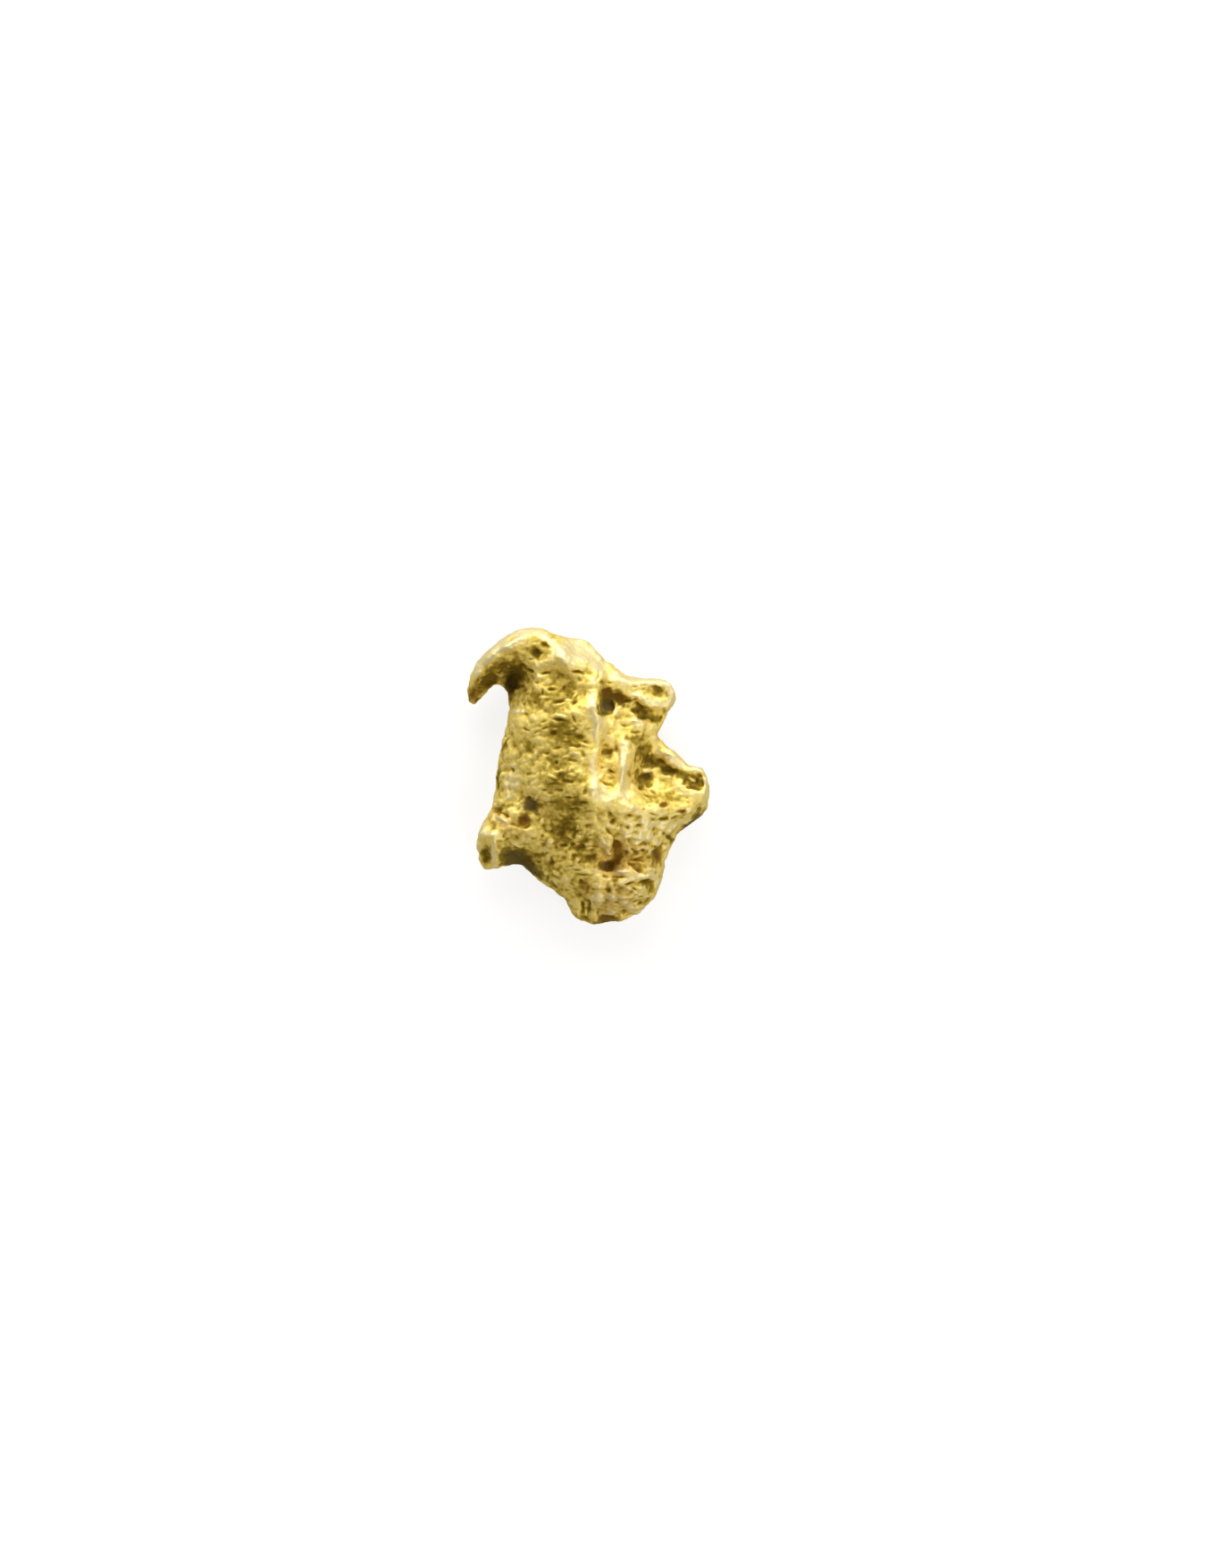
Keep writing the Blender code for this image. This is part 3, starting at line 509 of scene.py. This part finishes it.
# Painted highlight with wear, and painted shade with dirt, each from 0 to 1.
burnished_and_painted_highlight = seen * np.minimum(drawn(patches_plan, BURNISHED_AND_PAINTED_HIGHLIGHTS) / 100, 1)
dulled_and_painted_shade = seen * np.minimum(drawn(patches_plan, DULLED_AND_PAINTED_SHADE) / 100, 1)
grainy = seen * np.minimum(marks(patches_plan, GRAINY) / 100, 1)
rusty = seen * np.minimum(marks(spots_plan, RUSTY) / 100, 1)
grit_and_painted_shade = seen * np.minimum(marks(spots_plan, GRIT_AND_PAINTED_SHADE) / 100, 1)

# Wrinkles all over, under the marks: length and height in millimetres, height added
# where the gold is grainy, stretch, and the shift that sets one noise off from the next.
CREASES = [
    (0.32, 0.030, 0, (1.2, 0.8, 1), 9), (0.18, 0.018, 0.020, (1.3, 0.8, 1), 0),
]
GRAIN = [
    (0.13, 0.014, 0.040, (1.2, 0.8, 1), 3), (0.07, 0.010, 0.012, (1.2, 0.9, 1), 5),
    (0.045, 0.008, 0, (1, 1, 1), 0),
]
RUBBED_OFF = 0.72  # share of the wrinkles that is gone where the gold is burnished

crumpling = np.zeros(len(where))
for length, height, grainier, stretch, shift in CREASES:
    noises = roughness_of(where + shift, length, stretch)
    crumpling += (height + grainier * grainy) * np.abs(noises)
for length, height, grainier, stretch, shift in GRAIN:
    noises = roughness_of(where + shift, length, stretch)
    crumpling += (height + grainier * grainy) * noises
crumpling *= 1 - RUBBED_OFF * burnished_and_painted_highlight * (1 - grainy)
crumpling -= crumpling.mean()
moved_outwards(skin, crumpling + SQUARE * (flakes - hollows))


def relaxed(mesh, times):
    """Where each point of the skin would come to lie if the skin were smoothed."""
    where = places(mesh)
    ends = np.empty(2 * len(mesh.edges), np.int32)
    mesh.edges.foreach_get("vertices", ends)
    first, second = ends.reshape(-1, 2).T
    count = np.bincount(ends, minlength=len(where))[:, None]
    for _ in range(times):
        total = np.zeros_like(where)
        for axis in range(3):
            total[:, axis] = np.bincount(first, where[second, axis], len(where))
            total[:, axis] += np.bincount(second, where[first, axis], len(where))
        where = total / count
    return where


# The tone of the gold goes from 0, pale and bright, to 1, dark. It is darker where the skin
# lies below the skin round it, near and wide.
NEAR, NEAR_DEPTH = 3, 0.010  # rounds of smoothing, and a fair depth in millimetres
WIDE, WIDE_DEPTH = 60, 0.08
NEAR_DARKENING, NEAR_DARKENING_GRAINY, WIDE_DARKENING = 0.6, 0.9, 1.2

# Blotches of tarnish: length in millimetres, strength, and strength added where the
# gold is grainy.
TARNISH = [(0.5, 0.4, 0), (0.2, 0.25, 0), (0.09, 0.55, 0.5), (0.05, 0.5, 0)]

PLAIN_TONE = 0.42
HOLLOW_DARKENING_SHARE, TARNISH_SHARE, FINISH_AND_PAINTED_LIGHT_SHARE = 0.33, 0.25, 0.6
HOLLOWS_DARKER, FLAKES_BRIGHTER = 0.05, 0.10  # for each square of depth or height

out = facings(skin)
where = places(skin)
near = np.sum((relaxed(skin, NEAR) - where) * out, axis=1)
wide = np.sum((relaxed(skin, WIDE) - where) * out, axis=1)
hollow_darkening = (NEAR_DARKENING + NEAR_DARKENING_GRAINY * grainy) * np.tanh(near / NEAR_DEPTH)
hollow_darkening += WIDE_DARKENING * np.tanh(wide / WIDE_DEPTH)
tarnish = np.zeros(len(where))
for length, strength, grainier in TARNISH:
    tarnish += (strength + grainier * grainy) * roughness_of(where, length)
tone = PLAIN_TONE + HOLLOW_DARKENING_SHARE * hollow_darkening + TARNISH_SHARE * tarnish
# Paler where burnished and painted highlight, darker where dulled and painted shade.
tone += FINISH_AND_PAINTED_LIGHT_SHARE * (dulled_and_painted_shade - burnished_and_painted_highlight)
tone += HOLLOWS_DARKER * hollows - FLAKES_BRIGHTER * flakes
for name, values in (("tone", tone), ("rust", rusty), ("grit_and_shade", grit_and_painted_shade)):
    layer = skin.attributes.new(name, "FLOAT", "POINT")
    layer.data.foreach_set("value", np.clip(values, 0, 1).astype(np.float32))

skin.transform(Matrix.Scale(MM, 4))
skin.shade_smooth()
nugget = bpy.data.objects.new("nugget_skin", skin)
bpy.context.scene.collection.objects.link(nugget)

# Gold from pale to dark by its tone, which holds painted highlight and painted shade, under
# rust and grit, and rougher where it is darker. The bump is for scuffs finer than the skin.
STAIN_AND_SHADE_SHARE = 0.6  # share of the gold that the thickest rust, or grit with its painted shade, hides
SCUFFS = 40  # to the millimetre
SCUFF_DEPTH = 0.010

gold = bpy.data.materials.new("native gold")
gold.use_nodes = True
nodes, links = gold.node_tree.nodes, gold.node_tree.links
shader = nodes["Principled BSDF"]
shader.inputs["Metallic"].default_value = 1.0
shader.inputs["Specular Tint"].default_value = (1.0, 0.90, 0.62, 1)

tone_attribute = nodes.new("ShaderNodeAttribute")
tone_attribute.attribute_name = "tone"
tones = nodes.new("ShaderNodeValToRGB")
ramp = tones.color_ramp  # from pale gold, which also serves as painted highlight, by a strong yellow to dark olive, which also serves as painted shade
ramp.elements[0].position = 0.05
ramp.elements[0].color = (1.0, 0.88, 0.50, 1)
ramp.elements[1].position = 1.0
ramp.elements[1].color = (0.25, 0.170, 0.022, 1)
for position, colour in ((0.40, (0.95, 0.775, 0.23)), (0.70, (0.47, 0.34, 0.045))):
    ramp.elements.new(position).color = (*colour, 1)
links.new(tone_attribute.outputs["Fac"], tones.inputs["Fac"])

colour = tones.outputs["Color"]
# The rust colour is a stain; the grit colour is also painted shade under the overhangs.
for name, stain_and_shade_colour in (("rust", (0.42, 0.17, 0.030)), ("grit_and_shade", (0.17, 0.145, 0.085))):
    patch = nodes.new("ShaderNodeAttribute")
    patch.attribute_name = name
    stained_and_shaded = nodes.new("ShaderNodeMixRGB")
    stained_and_shaded.inputs["Color2"].default_value = (*stain_and_shade_colour, 1)
    amount = nodes.new("ShaderNodeMath")
    amount.operation = "MULTIPLY"
    amount.inputs[1].default_value = STAIN_AND_SHADE_SHARE
    links.new(patch.outputs["Fac"], amount.inputs[0])
    links.new(amount.outputs["Value"], stained_and_shaded.inputs["Fac"])
    links.new(colour, stained_and_shaded.inputs["Color1"])
    colour = stained_and_shaded.outputs["Color"]
links.new(colour, shader.inputs["Base Color"])

coordinates = nodes.new("ShaderNodeTexCoord")
millimetres = nodes.new("ShaderNodeMapping")
millimetres.inputs["Scale"].default_value = (1 / MM, 1 / MM, 1 / MM)
links.new(coordinates.outputs["Object"], millimetres.inputs["Vector"])
scuffs = nodes.new("ShaderNodeTexNoise")
scuffs.inputs["Scale"].default_value = SCUFFS
scuffs.inputs["Detail"].default_value = 4
links.new(millimetres.outputs["Vector"], scuffs.inputs["Vector"])
bump = nodes.new("ShaderNodeBump")
bump.inputs["Strength"].default_value = 0.6
bump.inputs["Distance"].default_value = SCUFF_DEPTH * MM
links.new(scuffs.outputs["Fac"], bump.inputs["Height"])
links.new(bump.outputs["Normal"], shader.inputs["Normal"])

gloss = nodes.new("ShaderNodeMapRange")
gloss.inputs["To Min"].default_value = 0.57
gloss.inputs["To Max"].default_value = 0.78
links.new(tone_attribute.outputs["Fac"], gloss.inputs["Value"])
links.new(gloss.outputs["Result"], shader.inputs["Roughness"])

nugget.data.materials.append(gold)
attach(nugget, "root")
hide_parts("nugget")

# The floor
#
# A plain sheet of white card, far wider than the view. It looks white to the camera,
# and throws less light up at the gold than it shows.

FLOOR_REACH = 0.25  # from its middle to each side, in metres

bm = bmesh.new()
bmesh.ops.create_grid(bm, x_segments=1, y_segments=1, size=FLOOR_REACH)
sheet = bpy.data.meshes.new("floor")
bm.to_mesh(sheet)
bm.free()
floor = bpy.data.objects.new("floor", sheet)
bpy.context.scene.collection.objects.link(floor)
card = bpy.data.materials.new("card")
card.use_nodes = True
paper = card.node_tree.nodes["Principled BSDF"]
paper.inputs["Base Color"].default_value = (0.34, 0.34, 0.34, 1)
paper.inputs["Roughness"].default_value = 0.9
paper.inputs["Specular IOR Level"].default_value = 0.1
paper.inputs["Emission Color"].default_value = (0.96, 0.97, 1, 1)
ray = card.node_tree.nodes.new("ShaderNodeLightPath")
glow = card.node_tree.nodes.new("ShaderNodeMapRange")
glow.inputs["To Min"].default_value = 0.20
glow.inputs["To Max"].default_value = 0.78
card.node_tree.links.new(ray.outputs["Is Camera Ray"], glow.inputs["Value"])
card.node_tree.links.new(glow.outputs["Result"], paper.inputs["Emission Strength"])
sheet.materials.append(card)

# The light
#
# Four soft boxes round the nugget. The three at the hooked end stand low, so that every
# pit and wrinkle shows, and the fourth fills in from the foot.

AWAY = 0.10  # from the nugget to each box, in metres


def soft_box(name, bearing, elevation, size, brightness):
    """A square panel facing the nugget. Bearing is clockwise from +Y, in degrees."""
    turn, rise = math.radians(bearing), math.radians(elevation)
    level = math.cos(rise)
    towards = Vector((math.sin(turn) * level, math.cos(turn) * level, math.sin(rise)))
    lamp = bpy.data.lights.new(name, "AREA")
    lamp.size = size
    lamp.energy = brightness * math.pi * size**2
    holder = bpy.data.objects.new(name, lamp)
    bpy.context.scene.collection.objects.link(holder)
    holder.location = AWAY * towards
    holder.rotation_euler = towards.to_track_quat("Z", "Y").to_euler()


soft_box("north_box", 0, 20, 0.09, 3.4)
soft_box("north_east_box", 50, 22, 0.06, 2.3)
soft_box("north_west_box", -50, 22, 0.06, 2.1)
soft_box("south_east_box", 140, 38, 0.05, 3.4)

# Dim warm surroundings, which the gold mirrors between the boxes.
surroundings = bpy.data.worlds.new("surroundings")
surroundings.use_nodes = True
surroundings.node_tree.nodes["Background"].inputs["Color"].default_value = (0.36, 0.33, 0.235, 1)
bpy.context.scene.world = surroundings

# The camera
#
# Straight above the nugget, with a long lens.

FRAME_HEIGHT = 21.94 * MM  # what the picture takes in from top to bottom
LENS, SENSOR = 100, 24  # in millimetres
OFF_MIDDLE = (0.2025 * MM, -0.1075 * MM)  # the nugget lies a little off the middle
WAIST_HEIGHT = 0.55 * MM  # of the middle of the nugget's edge

eye = bpy.data.cameras.new("camera")
eye.sensor_fit = "VERTICAL"
eye.sensor_height = SENSOR
eye.lens = LENS
eye.clip_start = 0.001
eye.clip_end = 10
camera = bpy.data.objects.new("camera", eye)
bpy.context.scene.collection.objects.link(camera)
camera.location = (*OFF_MIDDLE, WAIST_HEIGHT + FRAME_HEIGHT * LENS / SENSOR)
bpy.context.scene.camera = camera
bpy.context.scene.view_settings.view_transform = "Standard"
